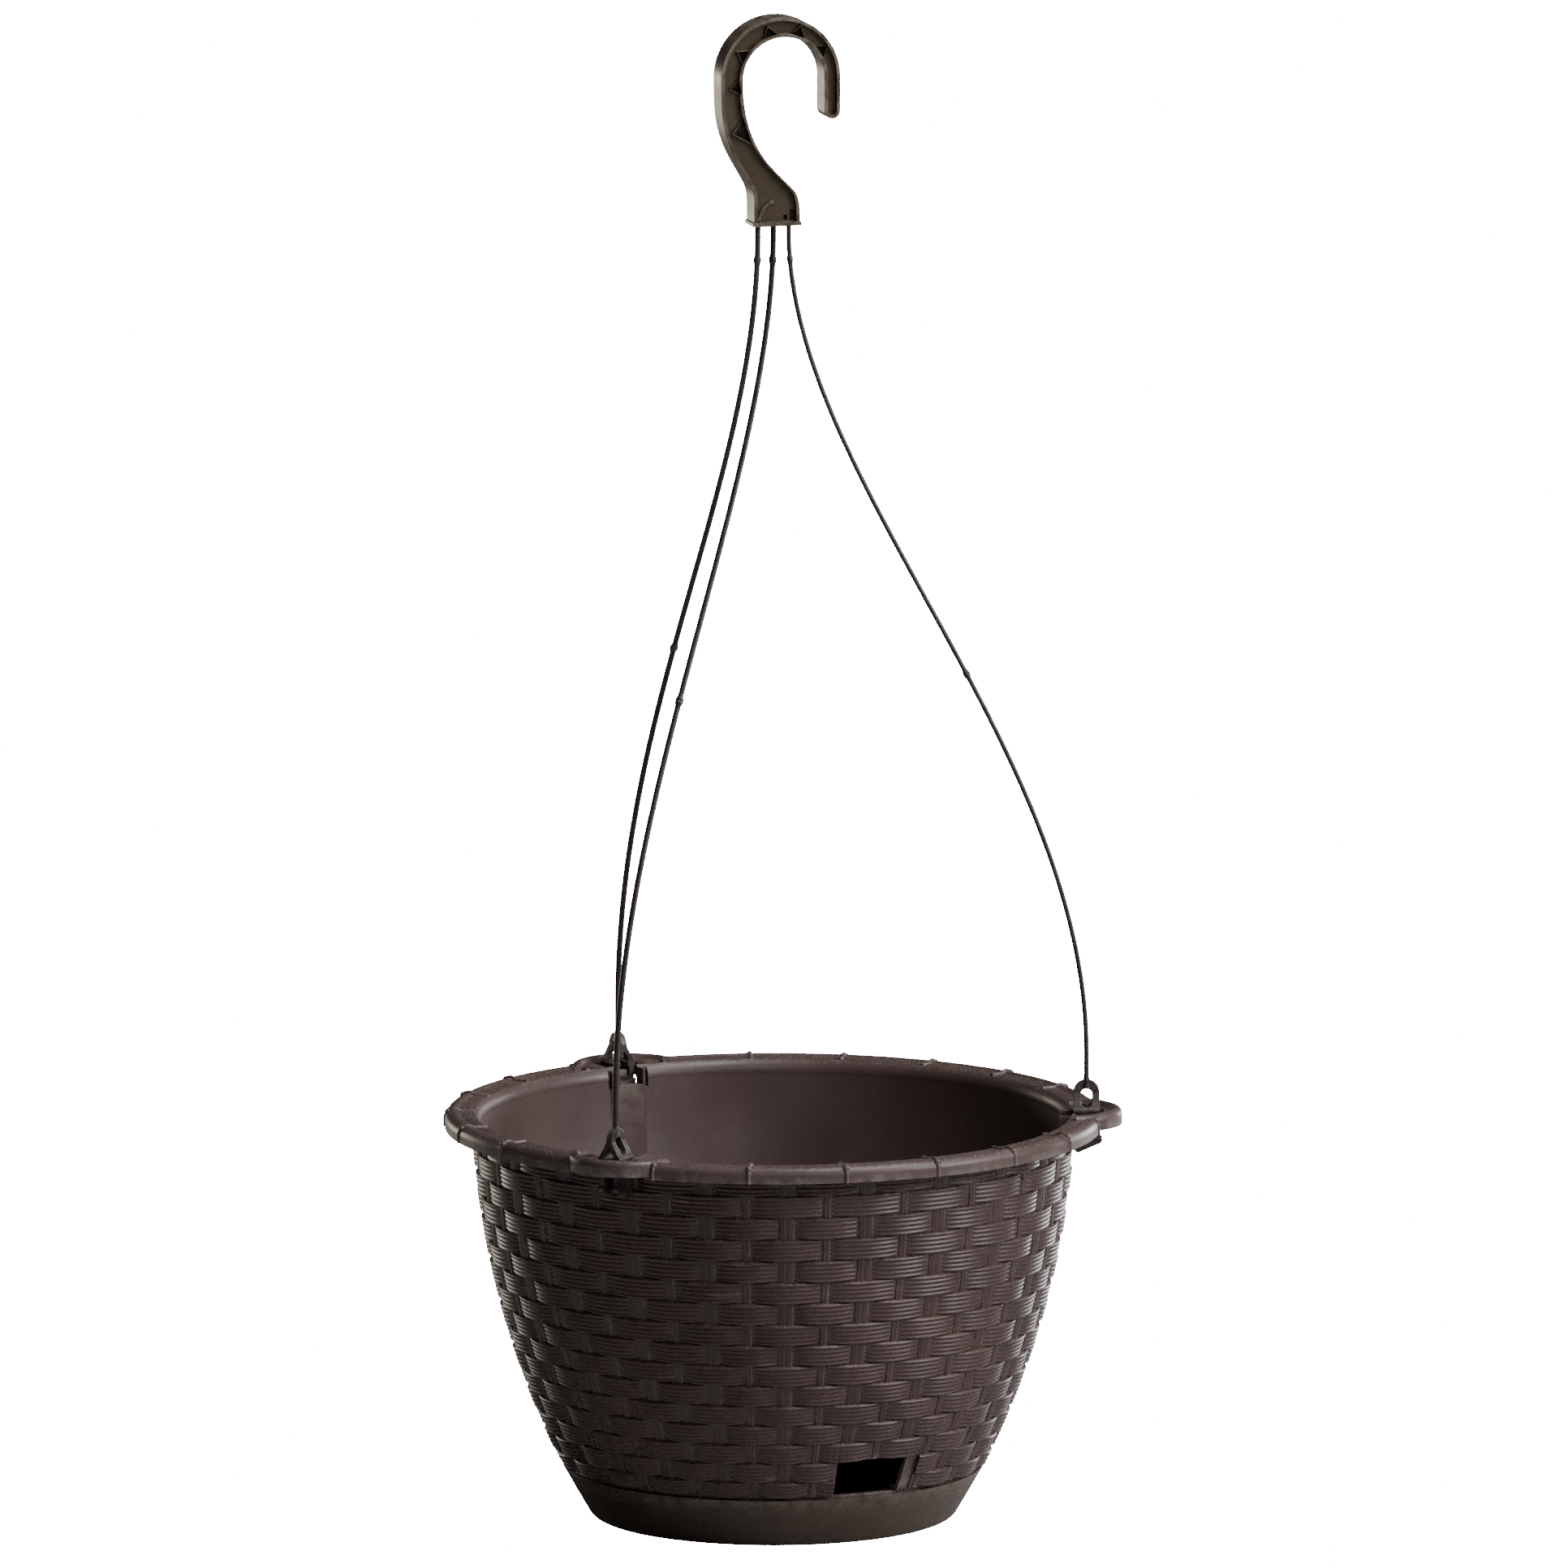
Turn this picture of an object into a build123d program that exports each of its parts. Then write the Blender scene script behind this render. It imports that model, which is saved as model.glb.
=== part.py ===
"""Hanging basket: a moulded pot with a drip saucer, three snap clips, three strands and a hook.

Millimetres, +Z up. The origin is the centre of the saucer's flat underside, on the pot's axis.
The right-hand ear of the rim points along +X; the other two ears are 120 and 240 degrees round from it.
"""
import os
from math import cos, radians, sin, sqrt, tan

from build123d import *

# ---------------------------------------------------------------- driving dimensions

# pot wall: one arc in the radius-height plane, seen as the surface behind the woven relief
RIM_TOP = 150.0
RIM_R = 120.0
WALL_ARC_R = 312.7
WALL_ARC_CENTRE = (-203.55, 159.5)
WALL = 1.8
SKIRT_BOTTOM = 20.1
WALL_TOP = 144.0

# raised floor of the pot
FLOOR_UNDER = 36.4
FLOOR = 1.8
DRAIN_R = 3.0
DRAIN_RINGS = ((24.0, 4), (56.0, 8))

# rim flange
FLANGE = 3.0
LIP_BOTTOM = 143.8
LIP = 1.7
RIM_ROLL_R = 3.4
RIM_INNER_R = 109.2
RIM_DISH = 0.9
DISH_RUN = 2.6
RIB_COUNT = 21
RIB_R = 0.85
RIB_SUNK = 0.25
KNOB_R = 1.3

# ears
EAR_ANGLES = (0.0, 120.0, 240.0)
EAR_NAMES = ("right", "back", "front")
EAR_R = 21.0
EAR_CENTRE_R = 106.5
EAR_RISE = 1.0
EAR_ROLL_R = 2.4
EAR_LIP_BOTTOM = 145.0

# clip pocket in each ear
CLIP_R = 114.3
POCKET_HALF = 7.2
POCKET_DEPTH = 2.6
POCKET_IN_R = 110.2
POCKET_OUT_R = 120.6
PAD = 2.2
MOUTH_HALF = 4.8
MOUTH_SILL = RIM_TOP - 7.4
BOSS_R = 104.2
BOSS_TOP = RIM_TOP - 1.6
BOSS_BOTTOM = 113.0
BOSS_HALF_TOP = 5.8
BOSS_HALF_BOTTOM = 6.8
FLANK_AT = 7.5
FLANK_HALF = 0.8
FLANK_DEPTH = 1.1

# clip
CLIP_HALF = 4.8
CLIP_TOP = RIM_TOP + 11.0
CHEEK_OFFSET = 3.0
CHEEK = 1.8
CLIP_GAP = 0.45
CLIP_LIFT = 0.85
SHOULDER_R = 1.5
BLADE_HALF = 1.1
FORK_FROM = RIM_TOP + 6.2
FORK_TO = RIM_TOP + 1.0
EYE = (4.2, 6.6)
BARB_TOP = RIM_TOP - 10.0
BARB_TIP = RIM_TOP - 15.6
BARB_NOSE = 1.1

# watering window, angles counted from the front (-Y) towards +X
WINDOW_FROM = 16.5
WINDOW_TO = 36.0
WINDOW_TOP = 34.2

# saucer
SAUCER_TOP = 18.9
SAUCER_WALL = 2.6
SAUCER_FLOOR = 2.0
SAUCER_FOOT_R = 64.0
SAUCER_PROFILE = ((66.6, 1.4), (69.2, 5.2), (73.3, 12.3), (77.0, SAUCER_TOP))
SPIGOT_BOTTOM = 13.0
SPIGOT = 1.6
FIT_GAP = 0.3
SEAT = 0.8

# hook, in its own plane; x runs across the hook and z up
HOOK_TURN = 16.0
HOOK_DEPTH = 10.5
HOOK_FOOT = 477.0
OUTER_BEND = ((1.35, 531.1), 22.55)
INNER_BEND = ((2.5, 530.9), 15.4)
TIP_Z = 518.6
FOOT_HALF = 8.65
BORDER = 1.35
WEB_RECESS = 1.5
BRACE_DEPTH = 4.0
BRACE_ANGLES = (34.8, 71.0, 107.0, 148.5, 188.6)
SOCKET_TOP = 489.0
SOCKET_R = 1.2
FOOT_ARCH = ((-7.0, 479.2), (-5.3, 483.9), (-1.4, 486.6))
ARCH_WIDTH = 1.1
FOOT_HOLLOWS = ((2.7, 4.1, 478.9, 480.8), (5.1, 7.0, 478.9, 482.6))
HOLLOW_DEPTH = 3.2

# strands
STRAND_R = 0.95
STRAND_PITCH = 5.85
STRAND_STEPS = 11
STRAND_OUT = 474.0
PIP_R = 1.25


def at_ear(solid, angle):
    """A feature drawn at the right-hand ear, carried round to another ear."""
    return Rot(0, 0, angle) * solid


def block(x_from, x_to, half, z_from, z_to):
    """A box from x_from to x_to, centred on the XZ plane."""
    size = (x_to - x_from, 2 * half, z_to - z_from)
    middle = ((x_from + x_to) / 2, 0, (z_from + z_to) / 2)
    return Pos(*middle) * Box(*size)


def rz(points):
    """Points of (radius, height) on the XZ plane."""
    return [(r, 0, z) for r, z in points]


def turned(outline):
    """The solid of revolution of a closed wire drawn in the XZ plane."""
    return revolve(make_face(outline), Axis.Z)


# ---------------------------------------------------------------- pot

def wall_radius(z, inset=0.0):
    """Radius of the pot's wall at height z, a given distance in from its outer face."""
    return WALL_ARC_CENTRE[0] + sqrt((WALL_ARC_R - inset) ** 2 - (z - WALL_ARC_CENTRE[1]) ** 2)


def wall_arc(z_from, z_to, inset=0.0):
    """The wall's arc between two heights."""
    middle = (z_from + z_to) / 2
    points = [(wall_radius(z, inset), z) for z in (z_from, middle, z_to)]
    return ThreePointArc(*rz(points))


def saucer_inner_radius(z):
    """Radius of the saucer's sloping inner wall at height z."""
    (low_r, low_z), (high_r, high_z) = SAUCER_PROFILE[1], SAUCER_PROFILE[3]
    outer = low_r + (high_r - low_r) * (z - low_z) / (high_z - low_z)
    return outer - SAUCER_WALL


def edge_path(centre_r, outer_r, start_r, roll, crest, bottom):
    """A dished upper surface, from start_r up to the crest of the rolled edge and down to the lip."""
    floor = RIM_TOP - RIM_DISH
    start = (centre_r + start_r, 0, floor)
    dish = (centre_r + outer_r - roll - DISH_RUN, 0, floor)
    roll_in = (centre_r + outer_r - roll, 0, crest)
    half = roll * sin(radians(45))
    roll_mid = (centre_r + outer_r - roll + half, 0, crest - roll + half)
    roll_out = (centre_r + outer_r, 0, crest - roll)
    end = (centre_r + outer_r, 0, bottom)
    rise = Spline(dish, roll_in, tangents=((1, 0, 0), (1, 0, 0)))
    return [Line(start, dish), rise, ThreePointArc(roll_in, roll_mid, roll_out), Line(roll_out, end)]


def rim_path(sunk=0.0):
    """The rim's upper surface, or the same line sunk a little into it."""
    return edge_path(0, RIM_R - sunk, RIM_INNER_R, RIM_ROLL_R, RIM_TOP, LIP_BOTTOM)


def pot_shell():
    """Wall, rolled rim, raised floor, skirt and the spigot that centres the saucer, in one turning."""
    under = RIM_TOP - FLANGE
    floor_top = FLOOR_UNDER + FLOOR
    spigot_top_r = saucer_inner_radius(SAUCER_TOP) - FIT_GAP
    spigot_low_r = saucer_inner_radius(SPIGOT_BOTTOM) - FIT_GAP
    seat_r = spigot_top_r + SEAT
    outer = [
        wall_arc(SKIRT_BOTTOM, WALL_TOP),
        Polyline(*rz([
            (wall_radius(WALL_TOP), WALL_TOP), (111.6, under), (RIM_R - LIP - 1.6, under),
            (RIM_R - LIP, under - 1.6), (RIM_R - LIP, LIP_BOTTOM), (RIM_R, LIP_BOTTOM)])),
    ]
    top = rim_path()
    inner_edge = (wall_radius(WALL_TOP, WALL), WALL_TOP)
    inner = [
        ThreePointArc(
            (RIM_INNER_R, 0, RIM_TOP - RIM_DISH), (107.9, 0, 147.8), (inner_edge[0], 0, inner_edge[1])),
        wall_arc(floor_top, WALL_TOP, WALL),
        Polyline(*rz([
            (wall_radius(floor_top, WALL), floor_top), (0, floor_top), (0, FLOOR_UNDER),
            (wall_radius(FLOOR_UNDER, WALL), FLOOR_UNDER)])),
        wall_arc(SKIRT_BOTTOM + WALL, FLOOR_UNDER, WALL),
        Polyline(*rz([
            (wall_radius(SKIRT_BOTTOM + WALL, WALL), SKIRT_BOTTOM + WALL),
            (spigot_top_r - SPIGOT, SKIRT_BOTTOM + WALL), (spigot_top_r - SPIGOT, SAUCER_TOP),
            (spigot_low_r - SPIGOT, SPIGOT_BOTTOM), (spigot_low_r, SPIGOT_BOTTOM),
            (spigot_top_r, SAUCER_TOP), (seat_r, SAUCER_TOP), (seat_r, SKIRT_BOTTOM),
            (wall_radius(SKIRT_BOTTOM), SKIRT_BOTTOM)])),
    ]
    return turned(outer + top + inner)


def ear_plate():
    """The rounded dish that widens the rim at one ear, with its own raised and rolled edge."""
    under = RIM_TOP - FLANGE
    tip = EAR_CENTRE_R + EAR_R
    below = Polyline(*rz([
        (tip, EAR_LIP_BOTTOM), (tip - LIP, EAR_LIP_BOTTOM), (tip - LIP, under), (EAR_CENTRE_R, under),
        (EAR_CENTRE_R, RIM_TOP - RIM_DISH)]))
    top = edge_path(EAR_CENTRE_R, EAR_R, 0, EAR_ROLL_R, RIM_TOP + EAR_RISE, EAR_LIP_BOTTOM)
    plate = revolve(make_face(top + [below]), Axis((EAR_CENTRE_R, 0, 0), (0, 0, 1)))
    return plate - Pos(0, 0, RIM_TOP) * Cylinder(RIM_INNER_R + 3, 20)


def around_ear():
    """What the round rim gives up to an ear: its lip below the dish and its crest above it."""
    under = RIM_TOP - FLANGE
    floor = RIM_TOP - RIM_DISH
    below = Pos(EAR_CENTRE_R, 0, under - 10) * Cylinder(EAR_R - LIP, 20)
    above = Pos(EAR_CENTRE_R, 0, floor + 10) * Cylinder(EAR_R - EAR_ROLL_R - DISH_RUN / 2, 20)
    return below + above - Pos(0, 0, under) * Cylinder(RIM_INNER_R + 2.4, 60)


def lashing_rib():
    """One raised lashing that runs over the rim and down its rolled edge, with a knob on the edge."""
    path = Wire(rim_path(RIB_SUNK))
    start = (RIM_INNER_R, 0, RIM_TOP - RIM_DISH)
    section = Plane(origin=start, x_dir=(0, 1, 0), z_dir=(1, 0, 0)) * Circle(RIB_R)
    half = RIM_ROLL_R * sin(radians(45))
    knob = Pos(RIM_R - RIM_ROLL_R + half - RIB_SUNK, 0, RIM_TOP - RIM_ROLL_R + half) * Sphere(KNOB_R)
    return sweep(section, path=path) + knob


def rib_angles():
    """Ribs stand half a pitch each side of every ear and at even steps between."""
    pitch = 360.0 / RIB_COUNT
    return [pitch * (i + 0.5) for i in range(RIB_COUNT)]


def boss():
    """The tapered boss on the inside of the wall below one clip, kept within the wall's thickness."""
    face = make_face(Polyline(
        (0, -BOSS_HALF_BOTTOM, BOSS_BOTTOM), (0, BOSS_HALF_BOTTOM, BOSS_BOTTOM),
        (0, BOSS_HALF_TOP, BOSS_TOP), (0, -BOSS_HALF_TOP, BOSS_TOP), close=True))
    prism = Pos(BOSS_R + 3, 0, 0) * extrude(face, 3, both=True, dir=(1, 0, 0))
    reach = WALL / 2
    low = wall_radius(BOSS_BOTTOM, reach)
    high = wall_radius(WALL_TOP, reach)
    within = turned([
        wall_arc(BOSS_BOTTOM, WALL_TOP, reach),
        Polyline(*rz([
            (high, WALL_TOP), (high + 0.6, BOSS_TOP), (90, BOSS_TOP), (90, BOSS_BOTTOM), (low, BOSS_BOTTOM)])),
    ])
    return prism & within


def pocket_add():
    """Pad under the rim and inner boss that make one clip pocket stiff."""
    floor = RIM_TOP - POCKET_DEPTH
    pad = block(RIM_INNER_R - 0.8, POCKET_OUT_R + 1.8, POCKET_HALF + 1.8, floor - PAD, floor)
    return pad + boss()


def pocket_cut():
    """Everything that is open at one clip pocket."""
    floor = RIM_TOP - POCKET_DEPTH
    recess = block(POCKET_IN_R, POCKET_OUT_R, POCKET_HALF, floor, RIM_TOP + 3)
    mouth = block(BOSS_R - 3, POCKET_IN_R + 0.2, MOUTH_HALF, MOUTH_SILL, RIM_TOP + 3)
    slit_from = CLIP_R - CLIP_HALF - CLIP_GAP
    slit_to = CLIP_R + CLIP_HALF + CLIP_GAP
    slit = block(slit_from, slit_to, CHEEK / 2 + CLIP_GAP, floor - PAD - 1, floor + 1)
    slits = Pos(0, CHEEK_OFFSET, 0) * slit + Pos(0, -CHEEK_OFFSET, 0) * slit
    flank_r = wall_radius(WALL_TOP, WALL)
    flank = block(flank_r - 3, flank_r + FLANK_DEPTH, FLANK_HALF, MOUTH_SILL - 1.4, RIM_TOP + 1)
    flanks = Pos(0, FLANK_AT, 0) * flank + Pos(0, -FLANK_AT, 0) * flank
    return recess + mouth + slits + flanks


def window():
    """The watering window: a sector of the skirt, open down to the seam."""
    turn = WINDOW_TO - WINDOW_FROM
    section = make_face(Polyline(
        (70, 0, SKIRT_BOTTOM - 0.01), (95, 0, SKIRT_BOTTOM - 0.01), (95, 0, WINDOW_TOP), (70, 0, WINDOW_TOP),
        close=True))
    return Rot(0, 0, WINDOW_FROM - 90) * revolve(section, Axis.Z, turn)


def drain_holes():
    """Rings of round holes through the raised floor, and one in the middle."""
    hole = Cylinder(DRAIN_R, 4 * FLOOR)
    level = FLOOR_UNDER + FLOOR / 2
    holes = [Pos(0, 0, level) * hole]
    for ring_r, count in DRAIN_RINGS:
        for i in range(count):
            holes.append(Rot(0, 0, 360.0 * (i + 0.5) / count) * Pos(ring_r, 0, level) * hole)
    return holes


def pot():
    """The whole moulded pot."""
    body = pot_shell()
    for angle in EAR_ANGLES:
        body -= at_ear(around_ear(), angle)
    for angle in EAR_ANGLES:
        body += at_ear(ear_plate(), angle)
        body += at_ear(pocket_add(), angle)
    rib = lashing_rib()
    body += [Rot(0, 0, angle) * rib for angle in rib_angles()]
    for angle in EAR_ANGLES:
        body -= at_ear(pocket_cut(), angle)
    body -= window()
    body -= drain_holes()
    return body


# ---------------------------------------------------------------- saucer

def drip_saucer():
    """A plain dish with a rounded foot and a sloping wall."""
    foot, low, mid, top = SAUCER_PROFILE
    inner_r = saucer_inner_radius(SAUCER_FLOOR + 3)
    outline = [
        Line((0, 0, 0), (SAUCER_FOOT_R, 0, 0)),
        ThreePointArc((SAUCER_FOOT_R, 0, 0), (66.0, 0, 0.75), (low[0] - 1.4, 0, 2.9)),
        Line((low[0] - 1.4, 0, 2.9), (low[0], 0, low[1])),
        ThreePointArc((low[0], 0, low[1]), (mid[0], 0, mid[1]), (top[0], 0, top[1])),
        Polyline(*rz([
            top, (saucer_inner_radius(SAUCER_TOP), SAUCER_TOP), (inner_r, SAUCER_FLOOR + 3),
            (inner_r - 3, SAUCER_FLOOR), (0, SAUCER_FLOOR), (0, 0)])),
    ]
    return turned(outline)


# ---------------------------------------------------------------- clips

def clip_side():
    """Outline of a clip seen along the rim: domed head above, hooked barb below."""
    low_in = CLIP_R - CLIP_HALF
    high_in = CLIP_R + CLIP_HALF
    dome_z = CLIP_TOP - CLIP_HALF
    return [
        Line((low_in, 0, BARB_TIP + 1.2), (low_in, 0, dome_z)),
        ThreePointArc((low_in, 0, dome_z), (CLIP_R, 0, CLIP_TOP), (high_in, 0, dome_z)),
        Polyline(*rz([
            (high_in, dome_z), (high_in, BARB_TOP), (high_in + BARB_NOSE, BARB_TOP - 0.8),
            (high_in + BARB_NOSE - 0.6, BARB_TOP - 1.9), (low_in + 1.6, BARB_TIP), (low_in, BARB_TIP + 1.2)])),
    ]


def clip_front():
    """Outline of a clip seen from outside: a blade that forks into two upright cheeks."""
    wide = CHEEK_OFFSET + CHEEK / 2
    gap = CHEEK_OFFSET - CHEEK / 2
    crotch = FORK_FROM - 1.9
    right = [(BLADE_HALF, CLIP_TOP), (BLADE_HALF, FORK_FROM), (wide, FORK_TO), (wide, BARB_TIP)]
    inside = [(gap, BARB_TIP), (gap, FORK_TO), (0, crotch), (-gap, FORK_TO), (-gap, BARB_TIP)]
    left = [(-y, z) for y, z in reversed(right)]
    return Polyline(*[(CLIP_R, y, z) for y, z in right + inside + left], close=True)


def clip():
    """One snap clip, drawn at the right-hand ear: eyed blade, two barbed cheeks with shoulders, neck."""
    side = extrude(make_face(clip_side()), 2 * CHEEK_OFFSET, both=True, dir=(0, 1, 0))
    front = extrude(make_face(clip_front()), 2 * CLIP_HALF, both=True, dir=(1, 0, 0))
    rest = RIM_TOP - POCKET_DEPTH + CLIP_LIFT + SHOULDER_R
    shoulder = Pos(CLIP_R, 0, rest) * Rot(0, 90, 0) * Cylinder(SHOULDER_R, 2 * CLIP_HALF)
    shoulders = Pos(0, CHEEK_OFFSET, 0) * shoulder + Pos(0, -CHEEK_OFFSET, 0) * shoulder
    eye = Pos(CLIP_R, 0, RIM_TOP + 4.4) * Rot(90, 0, 0) * extrude(RectangleRounded(*EYE, 2.0), 20, both=True)
    neck = Pos(CLIP_R, 0, CLIP_TOP - 1.2) * Cone(1.7, STRAND_R + 0.15, 4.0)
    return (side & front) + shoulders - eye + neck


def clip_neck_top():
    """Height of the flat where the strand meets the clip."""
    return CLIP_TOP + 0.8


# ---------------------------------------------------------------- hook

def hook_plane_points(points):
    """Points of the hook's own plane."""
    return [(x, 0, z) for x, z in points]


def ring_point(ring, angle):
    """A point at an angle on one of the hook's two bends."""
    (cx, cz), r = ring
    return (cx + r * cos(radians(angle)), 0, cz + r * sin(radians(angle)))


def hook_outline(inset=0.0, foot_inset=0.0):
    """The hook's outline, moved in by an inset on both sides."""
    outer = (OUTER_BEND[0], OUTER_BEND[1] - inset)
    inner = (INNER_BEND[0], INNER_BEND[1] + inset)
    tip_out = ring_point(outer, 0)
    tip_in = ring_point(inner, 0)
    tip_r = (tip_out[0] - tip_in[0]) / 2
    tip_mid = ((tip_out[0] + tip_in[0]) / 2, 0, TIP_Z - tip_r)
    foot_z = HOOK_FOOT + foot_inset
    foot_half = FOOT_HALF - inset
    back = Spline(
        ring_point(outer, 180), (-19.9 + inset, 0, 513.0), (-15.1 + inset * 0.9, 0, 500.9),
        (-9.6 + inset, 0, 491.0), (-foot_half, 0, 483.0),
        tangents=((0, 0, -1), (0, 0, -1)))
    front = Spline(
        ring_point(inner, 180), (-11.2 - inset, 0, 516.0), (-4.0 - inset * 0.8, 0, 501.0),
        (5.2 - inset * 0.9, 0, 491.3), (foot_half, 0, 480.6),
        tangents=((0, 0, -1), (0, 0, -1)))
    return [
        ThreePointArc(ring_point(outer, 180), ring_point(outer, 90), ring_point(outer, 0)),
        Line(tip_out, (tip_out[0], 0, TIP_Z)),
        ThreePointArc((tip_out[0], 0, TIP_Z), tip_mid, (tip_in[0], 0, TIP_Z)),
        Line((tip_in[0], 0, TIP_Z), tip_in),
        ThreePointArc(ring_point(inner, 0), ring_point(inner, 90), ring_point(inner, 180)),
        front,
        Polyline(*hook_plane_points(
            [(foot_half, 480.6), (foot_half, foot_z), (-foot_half, foot_z), (-foot_half, 483.0)])),
        back,
    ]


def slab(outline, y_from, y_to):
    """A face in the hook's plane made solid between two depths."""
    solid = extrude(make_face(outline), (y_to - y_from) / 2, both=True, dir=(0, 1, 0))
    return Pos(0, (y_from + y_to) / 2, 0) * solid


def brace_triangle(angle, grow):
    """The triangular pocket between two bracing ribs; its base lies on the hook's inner border."""
    (cx, cz), inner_r = INNER_BEND
    base_r = inner_r + BORDER - grow
    apex_r = inner_r + 4.7 + grow
    spread = 9.0 + grow * 4
    corners = [(base_r, angle - spread), (base_r, angle + spread), (apex_r, angle)]
    points = [(cx + r * cos(radians(a)), cz + r * sin(radians(a))) for r, a in corners]
    return [Polyline(*hook_plane_points(points), close=True)]


def lower_brace(grow):
    """The lowest bracing pocket, on the straight part of the limb below the bend."""
    points = [(-12.6 + grow, 516.8 + grow), (-9.6 + grow, 507.8 - 1.6 * grow), (-16.2 - grow, 511.4)]
    return [Polyline(*hook_plane_points(points), close=True)]


def foot_arch():
    """The small arched ridge on the foot's web."""
    low, mid, high = hook_plane_points(FOOT_ARCH)
    curve = ThreePointArc(low, mid, high)
    middle = curve.arc_center
    shift = [Vector(*p) - (Vector(*p) - middle).normalized() * ARCH_WIDTH for p in (high, mid, low)]
    return [curve, Line(high, shift[0]), ThreePointArc(*shift), Line(shift[2], low)]


def foot_hollow(x_from, x_to, z_from, z_to):
    """One small rectangular hollow in the foot's web."""
    return [Polyline(*hook_plane_points(
        [(x_from, z_from), (x_to, z_from), (x_to, z_to), (x_from, z_to)]), close=True)]


def hanger_hook():
    """The hook: raised borders, recessed web, bracing pockets, hollow foot with three strand sockets."""
    half = HOOK_DEPTH / 2
    body = slab(hook_outline(), -half, half)
    braces = [lambda grow, a=a: brace_triangle(a, grow) for a in BRACE_ANGLES] + [lower_brace]
    web = half - WEB_RECESS
    for side in (-1, 1):
        low, high = sorted((side * web, side * (half + 1)))
        body -= slab(hook_outline(BORDER, BORDER), low, high)
    for side in (-1, 1):
        ridge = sorted((side * (web - 0.5), side * (half - 0.5)))
        hole = sorted((side * (half - BRACE_DEPTH), side * (half + 1)))
        for brace in braces:
            body += slab(brace(0.7), *ridge)
            body -= slab(brace(0.0), *hole)
        body += slab(foot_arch(), *sorted((side * (web - 0.5), side * (web + 0.7))))
        for corners in FOOT_HOLLOWS:
            body -= slab(foot_hollow(*corners), *sorted((side * (half - HOLLOW_DEPTH), side * (half + 1))))
    foot_lip = Pos(0, 0, HOOK_FOOT + 0.7) * Box(2 * FOOT_HALF + 1.0, HOOK_DEPTH + 0.9, 1.4)
    body += foot_lip
    for x in (-STRAND_PITCH, 0, STRAND_PITCH):
        depth = SOCKET_TOP - HOOK_FOOT + 1
        body -= Pos(x, 0, SOCKET_TOP - depth / 2) * Cylinder(SOCKET_R, depth)
    return Rot(0, 0, HOOK_TURN) * body


# ---------------------------------------------------------------- strands

def sway(t):
    """How far a strand has moved from the hook's foot out to its clip, t of the way down."""
    return 3 * t ** 2 - 2 * t ** 3 + 0.65 * t ** 2 * (1 - t) ** 2


def strand_route(foot_x, ear_angle):
    """Corner points of one strand, from inside the hook's foot down to its clip."""
    turn = radians(HOOK_TURN)
    start = Vector(foot_x * cos(turn), foot_x * sin(turn), 0)
    end = Vector(CLIP_R * cos(radians(ear_angle)), CLIP_R * sin(radians(ear_angle)), 0)
    low = clip_neck_top()
    points = [start + Vector(0, 0, SOCKET_TOP - 2)]
    for i in range(STRAND_STEPS + 1):
        t = i / STRAND_STEPS
        points.append(start + (end - start) * sway(t) + Vector(0, 0, STRAND_OUT + (low + 9 - STRAND_OUT) * t))
    points.append(end + Vector(0, 0, low))
    return points


def bend_radii(points):
    """A tangent arc for each corner, as large as its two runs allow."""
    radii = []
    for a, b, c in zip(points, points[1:], points[2:]):
        half_turn = radians((b - a).get_angle(c - b)) / 2
        shorter = min((b - a).length, (c - b).length)
        radii.append(0.45 * shorter / tan(half_turn))
    return radii


def strand(foot_x, ear_angle):
    """One moulded strand with its small pips below the foot and at mid-height."""
    points = strand_route(foot_x, ear_angle)
    radii = bend_radii(points)
    path = FilletPolyline(*points, radius=radii)
    length = path.length
    body = sweep(Plane(origin=points[0], z_dir=(0, 0, -1)) * Circle(STRAND_R), path=path)
    for z in (STRAND_OUT - 10, 311.0):
        middle = min((path @ (i / 400) for i in range(401)), key=lambda p: abs(p.Z - z))
        body += Pos(*middle) * Sphere(PIP_R)
    print(f"strand at {ear_angle:.0f} degrees: length {length:.1f} mm, smallest bend {min(radii):.0f} mm")
    return body


# ---------------------------------------------------------------- write the parts

def main():
    os.makedirs("parts", exist_ok=True)
    parts = {"pot": pot(), "drip_saucer": drip_saucer(), "hanger_hook": hanger_hook()}
    foot_x = {"right": STRAND_PITCH, "back": -STRAND_PITCH, "front": 0.0}
    one_clip = clip()
    for name, angle in zip(EAR_NAMES, EAR_ANGLES):
        parts[f"clip_{name}"] = at_ear(one_clip, angle)
        parts[f"strand_{name}"] = strand(foot_x[name], angle)
    for name, shape in parts.items():
        export_step(shape, f"parts/{name}.step")
        print(f"{name}: {len(shape.solids())} solid, {shape.volume / 1000:.1f} cm3")


main()
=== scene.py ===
# %% [markdown]
# # A moulded hanging basket
# The real object is injection-moulded polypropylene: a pot whose wall imitates woven cane, a plain saucer,
# three snap clips, three thin strands and a hook. The CAD model gives every size and joint; this script gives
# the looks. Everything is in metres, in the CAD model's own frame.

# %% Load the frame
from math import asin, cos, pi, radians, sin

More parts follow.
